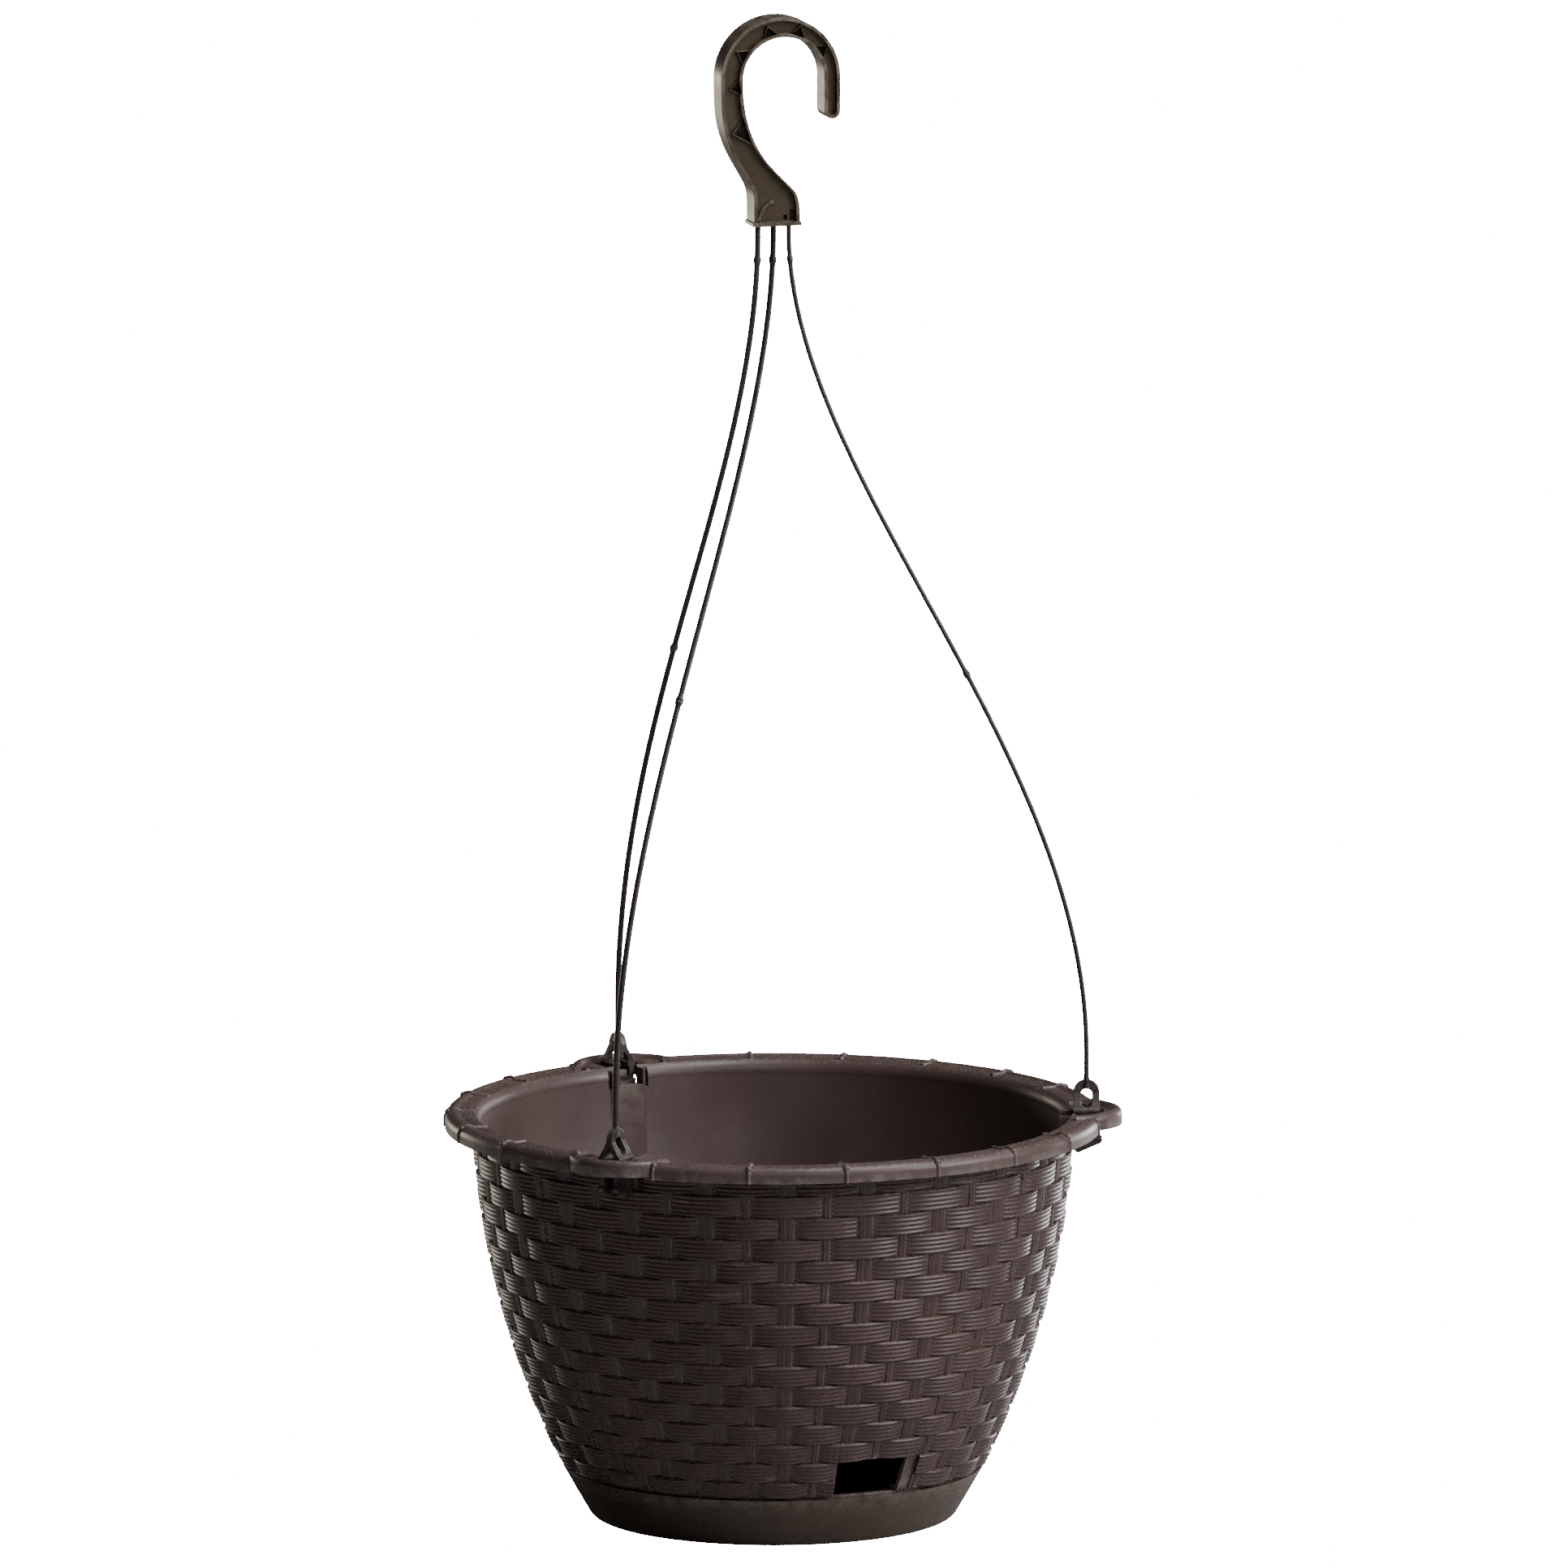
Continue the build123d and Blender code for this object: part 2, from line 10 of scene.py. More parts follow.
import bpy
import numpy as np
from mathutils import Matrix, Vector


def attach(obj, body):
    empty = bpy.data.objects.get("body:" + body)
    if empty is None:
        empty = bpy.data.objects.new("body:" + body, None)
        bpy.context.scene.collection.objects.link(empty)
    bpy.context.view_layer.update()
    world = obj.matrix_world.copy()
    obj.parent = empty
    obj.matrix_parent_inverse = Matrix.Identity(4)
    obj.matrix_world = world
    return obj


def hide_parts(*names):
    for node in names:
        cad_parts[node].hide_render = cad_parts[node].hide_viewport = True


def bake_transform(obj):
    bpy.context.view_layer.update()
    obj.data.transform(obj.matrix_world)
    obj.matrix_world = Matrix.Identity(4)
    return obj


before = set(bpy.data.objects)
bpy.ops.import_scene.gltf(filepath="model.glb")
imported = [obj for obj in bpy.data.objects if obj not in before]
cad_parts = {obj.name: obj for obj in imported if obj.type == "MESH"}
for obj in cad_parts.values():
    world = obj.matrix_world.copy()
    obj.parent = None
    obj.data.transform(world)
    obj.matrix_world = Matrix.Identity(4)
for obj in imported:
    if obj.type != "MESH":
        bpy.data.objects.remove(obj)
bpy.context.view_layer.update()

MM = 0.001

# %% [markdown]
# ## Camera
# The basket is seen from far away, a little from above, so that the rim reads as a narrow ellipse and upright
# lines stay upright. A very long lens does this; its focal length follows from the width of the field.

# %% Camera
CAMERA_DISTANCE = 13.77
CAMERA_RISE = radians(9.73)
FIELD_WIDTH = 0.5716
AIM = Vector((0.0039, -0.0016, 0.2707))


def make_camera():
    data = bpy.data.cameras.new("long lens")
    data.sensor_width = 36.0
    data.lens = data.sensor_width * CAMERA_DISTANCE / FIELD_WIDTH
    data.clip_end = 60.0
    camera = bpy.data.objects.new("long lens", data)
    sight = Vector((0, cos(CAMERA_RISE), -sin(CAMERA_RISE)))
    camera.location = AIM - sight * CAMERA_DISTANCE
    camera.rotation_euler = (radians(90) - CAMERA_RISE, 0, 0)
    bpy.context.scene.collection.objects.link(camera)
    bpy.context.scene.camera = camera
    print("lens in mm:", round(data.lens, 1))


make_camera()

# %% [markdown]
# ## Light
# Dark, satin plastic is drawn by what it reflects. One large soft panel on the right lights the left inside wall
# fully and only grazes the front, so that every strip of the weave is paler towards its right-hand end. Two
# narrow panels behind, left and right, draw a pale line down each side, and the surroundings stay dim.

# %% Soft panels and surroundings
def soft_panel(name, place, target, size, watts, tint=(1, 1, 1)):
    """A rectangular area light at a place, turned to face a target."""
    data = bpy.data.lights.new(name, "AREA")
    data.shape = "RECTANGLE"
    data.size, data.size_y = size
    data.energy = watts
    data.color = tint
    lamp = bpy.data.objects.new(name, data)
    lamp.location = place
    lamp.rotation_euler = (Vector(target) - Vector(place)).to_track_quat("-Z", "Y").to_euler()
    bpy.context.scene.collection.objects.link(lamp)


soft_panel("key panel", (1.9, -0.75, 1.05), (0, 0, 0.15), (1.0, 1.0), 42)
soft_panel("top panel", (0.9, -0.6, 2.2), (0, 0, 0.15), (0.9, 0.9), 44)
soft_panel("front fill", (0.6, -2.6, 1.5), (0, 0, 0.2), (0.8, 0.8), 8)
soft_panel("right edge", (1.0, 1.3, 0.12), (0, 0, 0.1), (0.4, 0.6), 15)
soft_panel("left edge", (-1.1, 1.3, 0.1), (0, 0, 0.1), (0.4, 0.6), 8, (1.0, 0.90, 0.74))


def white_surroundings():
    """An even white world; the camera sees it brighter than the object does."""
    world = bpy.data.worlds.new("white room")
    bpy.context.scene.world = world
    world.use_nodes = True
    tree = world.node_tree
    tree.nodes.clear()
    out = tree.nodes.new("ShaderNodeOutputWorld")
    mix = tree.nodes.new("ShaderNodeMixShader")
    path = tree.nodes.new("ShaderNodeLightPath")
    lit = tree.nodes.new("ShaderNodeBackground")
    lit.inputs["Strength"].default_value = 0.03
    seen = tree.nodes.new("ShaderNodeBackground")
    seen.inputs["Strength"].default_value = 40.0
    tree.links.new(path.outputs["Is Camera Ray"], mix.inputs["Fac"])
    tree.links.new(lit.outputs[0], mix.inputs[1])
    tree.links.new(seen.outputs[0], mix.inputs[2])
    tree.links.new(mix.outputs[0], out.inputs["Surface"])


white_surroundings()

# %% [markdown]
# ## Shared surface effects
# Moulded plastic is never one flat colour. It has a fine spark-eroded grain, slow patches where the melt
# flowed and a little dust on what faces up, and its edges and ridges carry a painted highlight: a paler colour
# for the light they catch. Each effect is built once as a node group, and every material places it with its own
# values.

# %% Helpers for node groups
def new_group(name, takes, gives):
    """An empty shader group with named inputs (kind, default) and named outputs (kind)."""
    group = bpy.data.node_groups.new(name, "ShaderNodeTree")
    for label, (kind, value) in takes.items():
        socket = group.interface.new_socket(label, in_out="INPUT", socket_type=kind)
        socket.default_value = value
    for label, kind in gives.items():
        group.interface.new_socket(label, in_out="OUTPUT", socket_type=kind)
    return group, group.nodes.new("NodeGroupInput"), group.nodes.new("NodeGroupOutput")


def arithmetic(tree, kind, a, b=None):
    """A maths node; a and b are sockets or numbers."""
    node = tree.nodes.new("ShaderNodeMath")
    node.operation = kind
    for slot, value in enumerate((a, b)):
        if value is None:
            continue
        if isinstance(value, (int, float)):
            node.inputs[slot].default_value = value
        else:
            tree.links.new(value, node.inputs[slot])
    return node.outputs[0]


def fade(tree, value, low, high):
    """Values from low to high become 0 to 1, smoothly and clamped."""
    node = tree.nodes.new("ShaderNodeMapRange")
    node.interpolation_type = "SMOOTHSTEP"
    node.inputs["From Min"].default_value = low
    node.inputs["From Max"].default_value = high
    tree.links.new(value, node.inputs["Value"])
    return node.outputs[0]


def blend_colours(tree, amount, first, second):
    """A colour mix; each argument is a socket, a number or an RGBA colour."""
    node = tree.nodes.new("ShaderNodeMix")
    node.data_type = "RGBA"
    for socket, value in zip((node.inputs[0], node.inputs[6], node.inputs[7]), (amount, first, second)):
        if hasattr(value, "links"):
            tree.links.new(value, socket)
        else:
            socket.default_value = value
    return node.outputs[2]


# %% Moulded grain
def moulded_grain():
    """Fine spark-eroded grain and slow melt patches, both from object coordinates in metres."""
    group, takes, gives = new_group(
        "moulded grain",
        {"Grain per metre": ("NodeSocketFloat", 2600.0), "Patch per metre": ("NodeSocketFloat", 26.0)},
        {"Height": "NodeSocketFloat", "Patch": "NodeSocketFloat"})
    place = group.nodes.new("ShaderNodeTexCoord")
    fine = group.nodes.new("ShaderNodeTexNoise")
    fine.inputs["Detail"].default_value = 3.0
    group.links.new(place.outputs["Object"], fine.inputs["Vector"])
    group.links.new(takes.outputs["Grain per metre"], fine.inputs["Scale"])
    slow = group.nodes.new("ShaderNodeTexNoise")
    slow.inputs["Detail"].default_value = 4.0
    slow.inputs["Roughness"].default_value = 0.55
    group.links.new(place.outputs["Object"], slow.inputs["Vector"])
    group.links.new(takes.outputs["Patch per metre"], slow.inputs["Scale"])
    group.links.new(fine.outputs["Fac"], gives.inputs["Height"])
    group.links.new(fade(group, slow.outputs["Fac"], 0.36, 0.66), gives.inputs["Patch"])
    return group


# %% Painted edge highlight
def painted_edge_highlight():
    """A mask that is 1 on convex ridges and edges, which the plastics paint paler as a painted highlight."""
    group, takes, gives = new_group(
        "painted edge highlight",
        {"Amount": ("NodeSocketFloat", 1.0)},
        {"Mask": "NodeSocketFloat"})
    shape = group.nodes.new("ShaderNodeNewGeometry")
    place = group.nodes.new("ShaderNodeTexCoord")
    ragged = group.nodes.new("ShaderNodeTexNoise")
    ragged.inputs["Scale"].default_value = 240.0
    group.links.new(place.outputs["Object"], ragged.inputs["Vector"])
    # Pointiness picks out convex edges and ridges for the painted highlight.
    ridge = fade(group, shape.outputs["Pointiness"], 0.505, 0.60)
    broken = fade(group, ragged.outputs["Fac"], 0.25, 0.7)
    kept = arithmetic(group, "MULTIPLY", ridge, broken)
    group.links.new(arithmetic(group, "MULTIPLY", kept, takes.outputs["Amount"]), gives.inputs["Mask"])
    return group


# %% Dust on what faces up
def settled_dust():
    """A broken mask on surfaces that face up."""
    group, takes, gives = new_group(
        "settled dust",
        {"Amount": ("NodeSocketFloat", 0.3)},
        {"Mask": "NodeSocketFloat"})
    shape = group.nodes.new("ShaderNodeNewGeometry")
    split = group.nodes.new("ShaderNodeSeparateXYZ")
    group.links.new(shape.outputs["Normal"], split.inputs[0])
    place = group.nodes.new("ShaderNodeTexCoord")
    specks = group.nodes.new("ShaderNodeTexNoise")
    specks.inputs["Scale"].default_value = 900.0
    specks.inputs["Detail"].default_value = 6.0
    group.links.new(place.outputs["Object"], specks.inputs["Vector"])
    facing = fade(group, split.outputs["Z"], 0.35, 0.95)
    broken = fade(group, specks.outputs["Fac"], 0.42, 0.72)
    lying = arithmetic(group, "MULTIPLY", facing, broken)
    group.links.new(arithmetic(group, "MULTIPLY", lying, takes.outputs["Amount"]), gives.inputs["Mask"])
    return group


GRAIN = moulded_grain()
EDGE_HIGHLIGHT = painted_edge_highlight()
DUST = settled_dust()

# %% [markdown]
# ## Plastics
# All parts are the same family of dark brown polypropylene, but not one colour: the woven wall is darker than the
# rest of the pot and leans to purple, the saucer and hook to olive, the strands are nearly black as they are so
# thin.

# %% The plastics
def polypropylene(name, deep, pale, highlight_colour, roughness, dust=0.25, edge=1.0, grain_mm=0.02, round_mm=0.3):
    """Satin moulded plastic: deep and pale melt patches, a painted highlight on edges and ridges, dust on top,
    fine grain.
    """
    material = bpy.data.materials.new(name)
    material.use_nodes = True
    tree = material.node_tree
    shader = tree.nodes["Principled BSDF"]
    grain = tree.nodes.new("ShaderNodeGroup")
    grain.node_tree = GRAIN
    edges = tree.nodes.new("ShaderNodeGroup")
    edges.node_tree = EDGE_HIGHLIGHT
    edges.inputs["Amount"].default_value = edge
    dusted = tree.nodes.new("ShaderNodeGroup")
    dusted.node_tree = DUST
    dusted.inputs["Amount"].default_value = dust
    body = blend_colours(tree, grain.outputs["Patch"], (*deep, 1), (*pale, 1))
    # Edges and ridges are painted paler here: a painted highlight. Their lower roughness below is real.
    with_highlight = blend_colours(tree, edges.outputs["Mask"], body, (*highlight_colour, 1))
    final = blend_colours(tree, dusted.outputs["Mask"], with_highlight, (0.32, 0.29, 0.26, 1))
    tree.links.new(final, shader.inputs["Base Color"])
    smoother = arithmetic(tree, "MULTIPLY", grain.outputs["Patch"], 0.07)
    highlight_gloss = arithmetic(tree, "MULTIPLY", edges.outputs["Mask"], 0.10)
    satin = arithmetic(tree, "SUBTRACT", arithmetic(tree, "ADD", smoother, roughness), highlight_gloss)
    tree.links.new(satin, shader.inputs["Roughness"])
    bump = tree.nodes.new("ShaderNodeBump")
    bump.inputs["Strength"].default_value = 0.35
    bump.inputs["Distance"].default_value = grain_mm * MM
    tree.links.new(grain.outputs["Height"], bump.inputs["Height"])
    if round_mm:
        rounded = tree.nodes.new("ShaderNodeBevel")
        rounded.samples = 4
        rounded.inputs["Radius"].default_value = round_mm * MM
        tree.links.new(rounded.outputs["Normal"], bump.inputs["Normal"])
    tree.links.new(bump.outputs["Normal"], shader.inputs["Normal"])
    shader.inputs["IOR"].default_value = 1.49
    return material


# The third colour of each plastic is its painted edge highlight.
WALL_PLASTIC = polypropylene(
    "woven wall plastic", (0.044, 0.0225, 0.021), (0.058, 0.031, 0.028), (0.14, 0.10, 0.092), 0.38)
POT_PLASTIC = polypropylene(
    "pot plastic", (0.068, 0.043, 0.040), (0.082, 0.053, 0.049), (0.18, 0.145, 0.135), 0.40)
SAUCER_PLASTIC = polypropylene(
    "saucer plastic", (0.046, 0.028, 0.018), (0.058, 0.036, 0.024), (0.12, 0.09, 0.07), 0.38)
HOOK_PLASTIC = polypropylene(
    "hook plastic", (0.038, 0.024, 0.011), (0.050, 0.032, 0.016), (0.15, 0.125, 0.10), 0.36)
STRAND_PLASTIC = polypropylene(
    "strand plastic", (0.014, 0.009, 0.008), (0.021, 0.014, 0.012), (0.07, 0.055, 0.05), 0.42)

FINISHES = {"pot": POT_PLASTIC, "drip_saucer": SAUCER_PLASTIC, "hanger_hook": HOOK_PLASTIC}


def dress_cad_nodes():
    """Gives every CAD node its plastic; clips and strands share one."""
    for name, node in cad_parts.items():
        material = FINISHES.get(name, STRAND_PLASTIC)
        if not node.data.materials:
            node.data.materials.append(material)
        for slot in node.material_slots:
            slot.material = material
    print("dressed", len(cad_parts), "CAD nodes")


dress_cad_nodes()

# %% [markdown]
# ## The woven wall
# The mould imitates cane weaving: 46 upright stakes, and flat strips that pass over one stake and behind the
# next, in 15 rows and part of a sixteenth under the rim. Each strip is a bundle of thin canes, so it carries five
# fine ridges. It could be a bump map, but the outline and the shadows between rows need real height, so every
# strip is its own low solid, its ends and back sunk in the wall.

# %% The wall's meridian and the weave's layout
WALL_CENTRE = (-203.55 * MM, 159.5 * MM)
WALL_ARC = 312.7 * MM
STAKES = 46
STAKE_TURN = 2 * pi / STAKES
EVEN_JOINT = radians(-5.2 - 90)
ROW_TOP, ROW_BOTTOM, ROWS = 137.4 * MM, 19.2 * MM, 15
SEAM = 20.5 * MM
UNDER_RIM = 144.5 * MM
EVEN_GAP, ODD_GAP = radians(1.7), radians(3.3)
WINDOW = (radians(16.5 - 90), radians(36.0 - 90), 34.2 * MM)
WINDOW_SILL = 0.3 * MM
BARE_LEFT, BARE_RIGHT = radians(0.3), radians(3.4)


def slope_at(z):
    """The angle on the wall's meridian arc at height z."""
    return asin((z - WALL_CENTRE[1]) / WALL_ARC)


def on_wall(turn, slope, height):
    """Points at a turn about the axis, an angle on the meridian and a height above the wall, as arrays."""
    reach = WALL_ARC + height
    radius = WALL_CENTRE[0] + reach * np.cos(slope)
    return np.stack([radius * np.cos(turn), radius * np.sin(turn), WALL_CENTRE[1] + reach * np.sin(slope)], -1)


ROW_STEP = (slope_at(ROW_TOP) - slope_at(ROW_BOTTOM)) / ROWS
print("row height in mm:", round(ROW_STEP * WALL_ARC / MM, 2))

# %% Mesh building
def grid_faces(across, along, offset):
    """Quads of a grid of vertices stored row by row."""
    return [(offset + i * along + j, offset + i * along + j + 1,
             offset + (i + 1) * along + j + 1, offset + (i + 1) * along + j)
            for i in range(across - 1) for j in range(along - 1)]


def border(across, along, offset):
    """The border vertices of such a grid, in order round it."""
    first = [offset + j for j in range(along)]
    right = [offset + i * along + along - 1 for i in range(1, across)]
    last = [offset + (across - 1) * along + j for j in range(along - 2, -1, -1)]
    left = [offset + i * along for i in range(across - 2, 0, -1)]
    return first + right + last + left


def piece(name, points, faces, material, smooth=True):
    """A mesh object with one material."""
    mesh = bpy.data.meshes.new(name)
    mesh.from_pydata(points, [], faces)
    mesh.materials.append(material)
    mesh.validate()
    for polygon in mesh.polygons:
        polygon.use_smooth = smooth
    obj = bpy.data.objects.new(name, mesh)
    bpy.context.scene.collection.objects.link(obj)
    return obj


# %% One strip
RIDGES = 5
STRIP_RISE = 1.25 * MM
STRIP_END = -0.25 * MM
RIDGE_RISE = 0.42 * MM
EDGE_DROP = 0.9 * MM
SUNK = -1.0 * MM
ACROSS, ALONG = RIDGES * 6 + 5, 11


def strip_height(u, v):
    """Height above the wall: u runs -1 to 1 along the strip, v 0 to 1 across it."""
    swell = STRIP_END + (STRIP_RISE - STRIP_END) * (1 - np.abs(u) ** 2.2)
    canes = RIDGE_RISE * (0.5 - 0.5 * np.cos(2 * pi * RIDGES * v)) * (1 - 0.5 * np.abs(u) ** 4)
    near_edge = np.clip(np.minimum(v, 1 - v) / 0.06, 0, 1)
    return swell + canes - EDGE_DROP * (1 - near_edge) ** 2


def strip(span, row_span, whole_span, whole_row):
    """Grid of a strip between two turns and two slopes; the whole spans keep its shape in step when it is cut."""
    (start, end), (low, high) = span, row_span
    across = np.linspace(0, 1, ACROSS)[:, None]
    along = np.sin(np.linspace(-1, 1, ALONG)[None, :] * pi / 2)
    turn = start + (end - start) * (along + 1) / 2
    slope = low + (high - low) * across
    u = 2 * (turn - whole_span[0]) / (whole_span[1] - whole_span[0]) - 1
    v = (slope - whole_row[0]) / (whole_row[1] - whole_row[0])
    height = strip_height(u + 0 * v, v + 0 * u)
    return on_wall(turn + 0 * slope, slope + 0 * turn, height).reshape(-1, 3)


# %% All the strips
SHORTEST = radians(0.8)


def row_spans(row):
    """(start, end) turns of the whole strips in one row."""
    even = row % 2 == 0
    first = EVEN_JOINT + (0 if even else STAKE_TURN)
    gap = EVEN_GAP if even else ODD_GAP
    for k in range(STAKES // 2):
        start = (first + 2 * k * STAKE_TURN + gap / 2 + pi) % (2 * pi) - pi
        yield start, start + 2 * STAKE_TURN - gap


def cut_round_window(span, row):
    """The (span, row) pieces that are left of a strip beside and above the watering window."""
    sill = slope_at(WINDOW[2] + WINDOW_SILL)
    left, right = WINDOW[0] - BARE_LEFT, WINDOW[1] + BARE_RIGHT
    if row[0] >= sill or span[1] < left or span[0] > right:
        return [(span, row)]
    pieces = [((span[0], left), row), ((right, span[1]), row)]
    over = (max(span[0], left), min(span[1], right))
    if row[1] > sill:
        pieces.append((over, (sill, row[1])))
    return [(cut, height) for cut, height in pieces if cut[1] - cut[0] > SHORTEST]


def weave(name, rows):
    """One mesh of all strips in some rows; each strip is closed by a fan to a point sunk in the wall."""
    points, faces, count = [], [], 0
    for row in rows:
        high = slope_at(ROW_TOP) - row * ROW_STEP
        whole_row = (high - ROW_STEP, high)
        kept_row = (max(whole_row[0], slope_at(SEAM)), min(high, slope_at(UNDER_RIM)))
        for whole_span in row_spans(row):
            for span, row_span in cut_round_window(whole_span, kept_row):
                offset = len(points)
                points.extend(map(tuple, strip(span, row_span, whole_span, whole_row)))
                points.append(tuple(on_wall(np.mean(span), np.mean(row_span), np.array(SUNK))))
                faces += grid_faces(ACROSS, ALONG, offset)
                edge = border(ACROSS, ALONG, offset)
                faces += [(b, a, len(points) - 1) for a, b in zip(edge, edge[1:] + edge[:1])]
                count += 1
    obj = piece(name, points, faces, WALL_PLASTIC)
    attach(obj, "pot")
    print(name, "strips:", count, "faces:", len(faces))


weave("weave_upper", range(-1, 7))
weave("weave_lower", range(7, 15))

# %% [markdown]
# ## Stakes
# Where a strip's end dives behind the next stake, the stake shows as an upright band. Every second one is wide
# and carries three fine grooves, the others are narrow. They stand lower than the strips' swell.

# %% Stakes
STAKE_RISE = 0.45 * MM
STAKE_STEPS = 26


def stake_section(width, canes):
    """(turn offset, height) across one stake: a low band with rounded edges and small upright canes."""
    s = np.linspace(-1, 1, 4 * canes + 3)
    edge = np.clip((1 - np.abs(s)) / 0.2, 0, 1)
    height = STAKE_RISE * (1 - (1 - edge) ** 2) + 0.22 * MM * (0.5 + 0.5 * np.cos(pi * (canes * (s + 1)))) * edge
    return s * width / 2, height - 0.12 * MM


def stakes():
    points, faces = [], []
    low_slope, high_slope = slope_at(SEAM), slope_at(UNDER_RIM)
    for k in range(STAKES):
        wide = k % 2 == 1
        turn = EVEN_JOINT + k * STAKE_TURN
        turn = (turn + pi) % (2 * pi) - pi
        offset_turn, height = stake_section(radians(3.0 if wide else 1.5), 3 if wide else 1)
        low = low_slope
        if WINDOW[0] - BARE_LEFT < turn + offset_turn[-1] and turn + offset_turn[0] < WINDOW[1] + BARE_RIGHT:
            low = slope_at(WINDOW[2] + WINDOW_SILL)
        slope = np.linspace(low, high_slope, STAKE_STEPS)[:, None]
        grid = on_wall(turn + offset_turn[None, :] + 0 * slope, slope + 0 * offset_turn[None, :],
                       height[None, :] + 0 * slope)
        offset = len(points)
        points.extend(map(tuple, grid.reshape(-1, 3)))
        back = on_wall(np.full(STAKE_STEPS, turn), slope[:, 0], np.full(STAKE_STEPS, SUNK))
        back_offset = len(points)
        points.extend(map(tuple, back))
        along = len(offset_turn)
        faces += grid_faces(STAKE_STEPS, along, offset)
        for i in range(STAKE_STEPS - 1):
            left, right = offset + i * along, offset + i * along + along - 1
            faces.append((left, left + along, back_offset + i + 1, back_offset + i))
            faces.append((right + along, right, back_offset + i, back_offset + i + 1))
        faces.append(tuple(offset + j for j in range(along)) + (back_offset,))
        last = offset + (STAKE_STEPS - 1) * along
        faces.append(tuple(last + j for j in range(along - 1, -1, -1)) + (back_offset + STAKE_STEPS - 1,))
    obj = piece("weave_stakes", points, faces, WALL_PLASTIC)
    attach(obj, "pot")
    print("stakes:", STAKES, "faces:", len(faces))


stakes()

# %% [markdown]
# ## Fine canes on the rim
# The dished top of the rim is not smooth: fine canes run round it, from one lashing to the next. They catch the
# light only where it comes across them. They are modelled as ridged ribbons sunk in the rim, because they show
# on its outline; a ribbon stops short of every clip's pocket.

# %% Canes on the rim
RIM_FLOOR = 149.1 * MM
RIM_CREST = 150.0 * MM
DISH_END, CREST_START = 114.0 * MM, 116.6 * MM
CANES = 5
CANE_RISE = 0.16 * MM
CANE_TURN = radians(1.0)
RIBBON_BACK = 0.5 * MM


def rim_level(radius, in_ear):
    """Height of the dished rim at a radius; inside an ear the floor runs on level."""
    t = np.clip((radius - DISH_END) / (CREST_START - DISH_END), 0, 1)
    rise = (RIM_CREST - RIM_FLOOR) * t * t * (3 - 2 * t)
    return RIM_FLOOR + (0 if in_ear else 1) * rise


def cane_ribbon(points, faces, inner, outer, start, end, in_ear):
    """Adds one closed ribbon with canes on top, between two radii and two turns."""
    steps = max(3, int((end - start) / CANE_TURN))
    v = np.linspace(0, 1, CANES * 6 + 1)
    radius = inner + (outer - inner) * v
    canes = CANE_RISE * (0.5 - 0.5 * np.cos(2 * pi * CANES * v))
    top = rim_level(radius, in_ear) + canes
    turn = np.linspace(start, end, steps)[:, None]
    along = len(v)
    offset = len(points)
    top_grid = np.stack([radius * np.cos(turn), radius * np.sin(turn), top + 0 * turn], -1)
    points.extend(map(tuple, top_grid.reshape(-1, 3)))
    back_grid = np.stack([radius * np.cos(turn), radius * np.sin(turn), top - RIBBON_BACK + 0 * turn], -1)
    points.extend(map(tuple, back_grid.reshape(-1, 3)))
    back = offset + steps * along
    faces += [face[::-1] for face in grid_faces(steps, along, offset)]
    faces += grid_faces(steps, along, back)
    edge = border(steps, along, 0)
    faces += [(offset + a, offset + b, back + b, back + a) for a, b in zip(edge, edge[1:] + edge[:1])]


def rim_canes():
    """Ribbons from ear to ear, and short ones inside each ear beside the clip's pocket."""
    points, faces = [], []
    for ear in (0.0, radians(120), radians(240)):
        cane_ribbon(points, faces, 110.3 * MM, 116.2 * MM, ear + radians(9.2), ear + radians(110.8), False)
        cane_ribbon(points, faces, 110.6 * MM, 116.8 * MM, ear + radians(4.1), ear + radians(6.9), True)
        cane_ribbon(points, faces, 110.6 * MM, 116.8 * MM, ear - radians(6.9), ear - radians(4.1), True)
    obj = piece("rim_canes", points, faces, POT_PLASTIC)
    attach(obj, "pot")
    print("rim canes faces:", len(faces))


rim_canes()

# %% [markdown]
# ## Strands
# Each strand is a thin flat moulding that leaves the hook's foot straight down, sways out and comes down
# straight on its clip. The CAD tube is replaced by two smooth pieces that meet at the small pip half-way.

# %% Strands
HOOK_TURN = radians(16.0)
STRAND_PITCH = 5.85 * MM
STRAND_OUT = 474.0 * MM
SOCKET_TOP = 487.0 * MM
CLIP_R = 114.3 * MM
NECK_TOP = 161.8 * MM
PIP = 311.0 * MM
EARS = {"right": 0.0, "back": radians(120), "front": radians(240)}
FOOT_X = {"right": STRAND_PITCH, "back": -STRAND_PITCH, "front": 0.0}
STRAND_HALF = (0.92 * MM, 1.15 * MM)
ROUND = 12


def sway(t):
    """How far a strand has moved from the foot out to its clip, t of the way down."""
    return 3 * t ** 2 - 2 * t ** 3 + 0.65 * t ** 2 * (1 - t) ** 2


def strand_point(name, z):
    """The strand's centre at height z."""
    start = Vector((FOOT_X[name] * cos(HOOK_TURN), FOOT_X[name] * sin(HOOK_TURN), 0))
    end = Vector((CLIP_R * cos(EARS[name]), CLIP_R * sin(EARS[name]), 0))
    low = NECK_TOP + 9 * MM
    t = min(max((STRAND_OUT - z) / (STRAND_OUT - low), 0), 1)
    return start.lerp(end, sway(t)) + Vector((0, 0, z))


def swelling(z, at, size, spread):
    """A small round rise of the strand's thickness about a height."""
    d = (z - at) / spread
    return size * max(0.0, 1 - d * d) ** 0.5 if abs(d) < 1 else 0.0


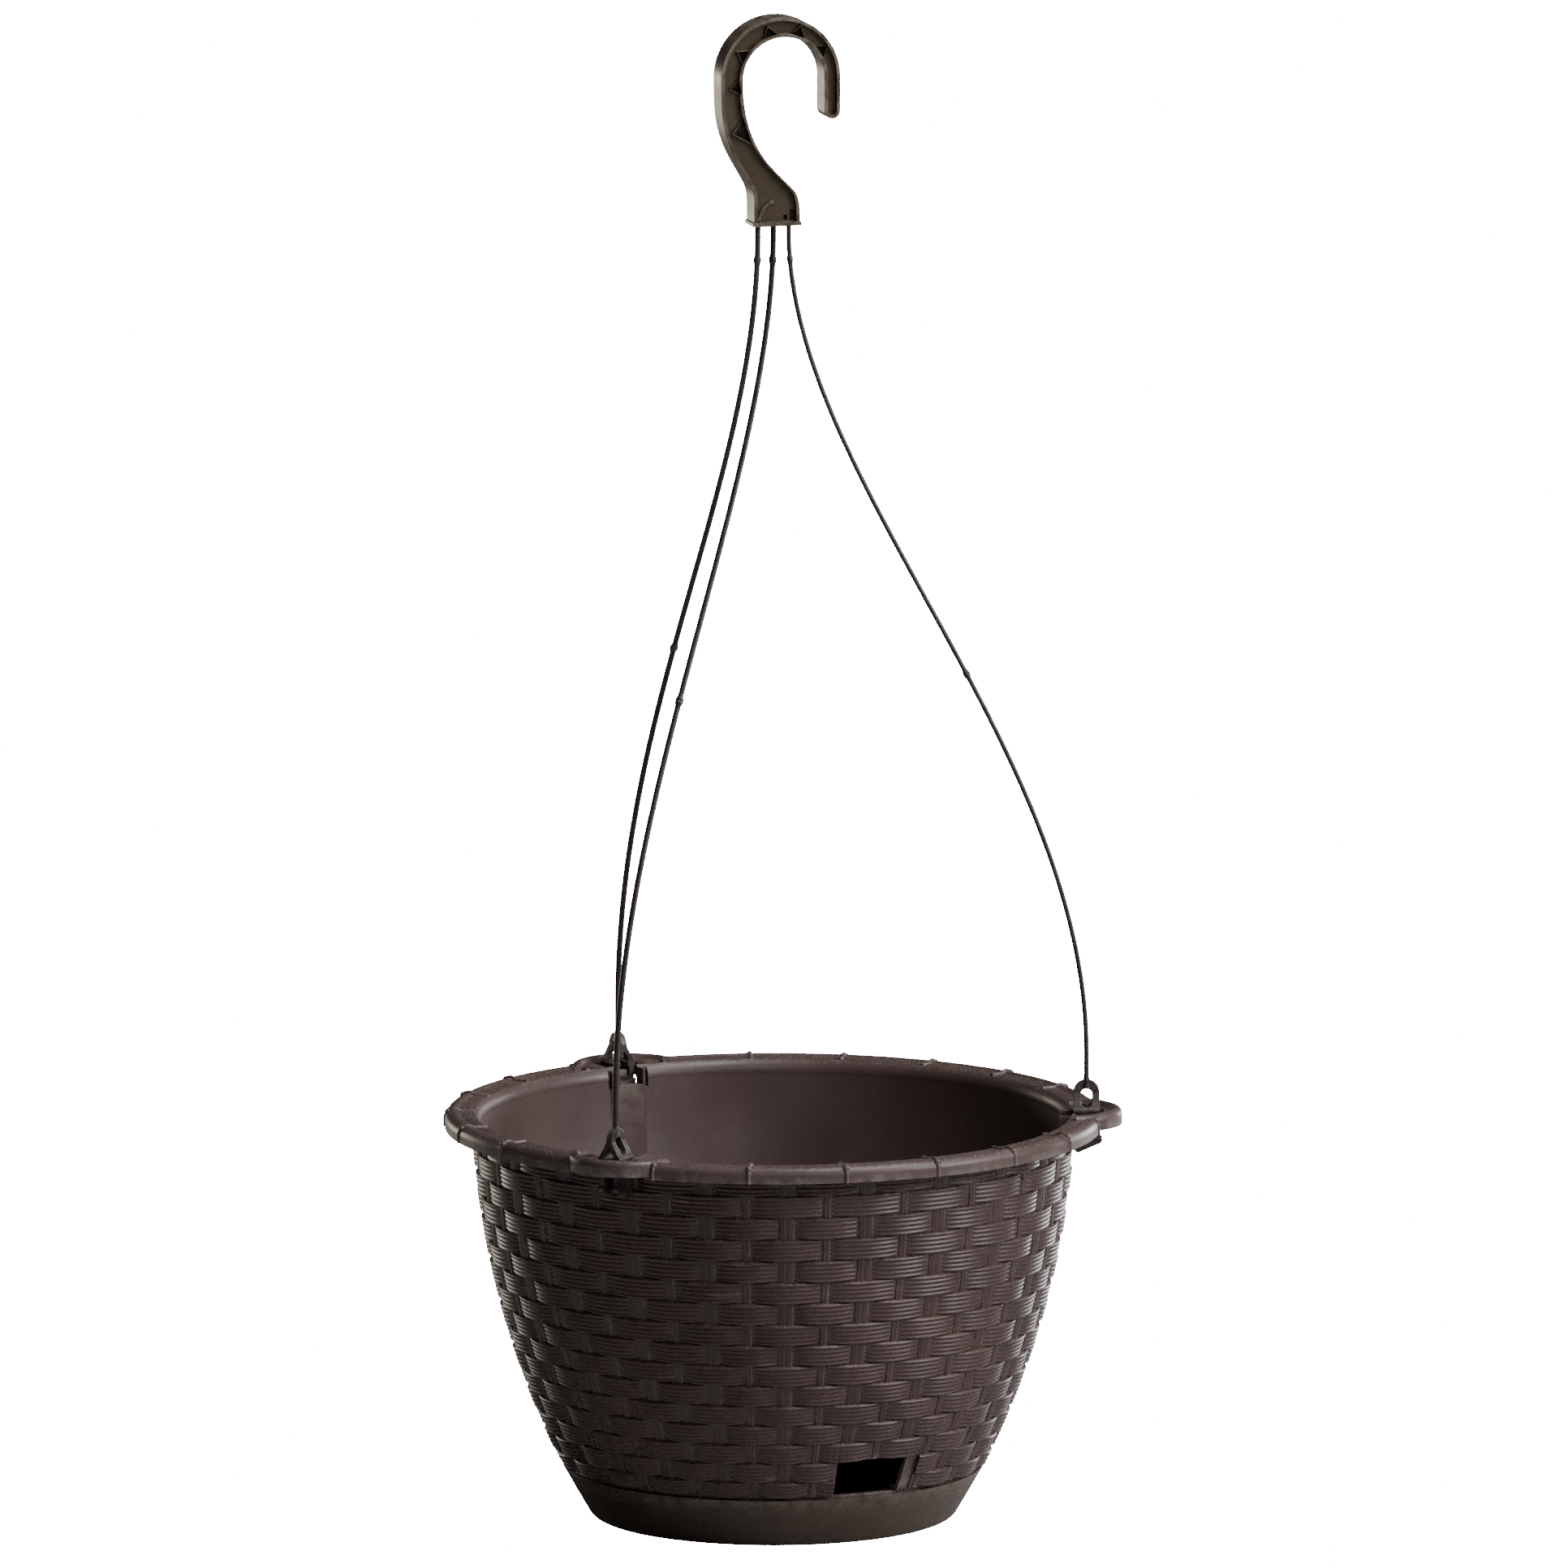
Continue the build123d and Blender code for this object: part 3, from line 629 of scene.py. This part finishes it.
def strand_piece(name, part, z_from, z_to, steps):
    """A flat rounded tube along the strand between two heights."""
    points, faces = [], []
    for i in range(steps + 1):
        z = z_from + (z_to - z_from) * i / steps
        centre = strand_point(name, z)
        ahead = (strand_point(name, z - 0.4 * MM) - strand_point(name, z + 0.4 * MM)).normalized()
        sideways = Vector((-sin(EARS[name]), cos(EARS[name]), 0))
        outward = sideways.cross(ahead).normalized()
        grow = 1 + swelling(z, STRAND_OUT - 10 * MM, 0.35, 1.2 * MM) + swelling(z, PIP, 0.45, 1.4 * MM)
        for k in range(ROUND):
            a = 2 * pi * k / ROUND
            rim = outward * (STRAND_HALF[0] * cos(a)) + sideways * (STRAND_HALF[1] * sin(a))
            points.append(tuple(centre + rim * grow))
    for i in range(steps):
        for k in range(ROUND):
            a, b = i * ROUND + k, i * ROUND + (k + 1) % ROUND
            faces.append((a, b, b + ROUND, a + ROUND))
    faces.append(tuple(range(ROUND - 1, -1, -1)))
    faces.append(tuple(steps * ROUND + k for k in range(ROUND)))
    obj = piece(f"strand_{name}_{part}", points, faces, STRAND_PLASTIC)
    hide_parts(f"strand_{name}")
    return obj


for name, turn in EARS.items():
    upper = strand_piece(name, "upper", SOCKET_TOP, PIP, 220)
    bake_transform(upper)
    lower = strand_piece(name, "lower", PIP, NECK_TOP, 190)
    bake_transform(lower)

# %% [markdown]
# ## Floor
# A plain pale floor under the saucer, and nothing else.

# %% Floor
FLOOR_HALF = 6.0
FLOOR_GLOW = 40.0
FLOOR_DROP = 0.4 * MM


def pale_floor():
    """A pale floor that is overexposed to white for the camera, but throws only its own light back."""
    mesh = bpy.data.meshes.new("floor")
    corners = [(x * FLOOR_HALF, y * FLOOR_HALF, 0) for x, y in ((-1, -1), (1, -1), (1, 1), (-1, 1))]
    mesh.from_pydata(corners, [], [(0, 1, 2, 3)])
    material = bpy.data.materials.new("pale floor")
    material.use_nodes = True
    tree = material.node_tree
    shader = tree.nodes["Principled BSDF"]
    shader.inputs["Base Color"].default_value = (0.4, 0.4, 0.4, 1)
    shader.inputs["Roughness"].default_value = 0.9
    glow = tree.nodes.new("ShaderNodeEmission")
    glow.inputs["Strength"].default_value = FLOOR_GLOW
    path = tree.nodes.new("ShaderNodeLightPath")
    mix = tree.nodes.new("ShaderNodeMixShader")
    seen = arithmetic(tree, "MULTIPLY", path.outputs["Is Camera Ray"], 0.9)
    tree.links.new(seen, mix.inputs["Fac"])
    tree.links.new(shader.outputs[0], mix.inputs[1])
    tree.links.new(glow.outputs[0], mix.inputs[2])
    tree.links.new(mix.outputs[0], tree.nodes["Material Output"].inputs["Surface"])
    mesh.materials.append(material)
    floor = bpy.data.objects.new("floor", mesh)
    floor.location.z = -FLOOR_DROP
    bpy.context.scene.collection.objects.link(floor)


pale_floor()
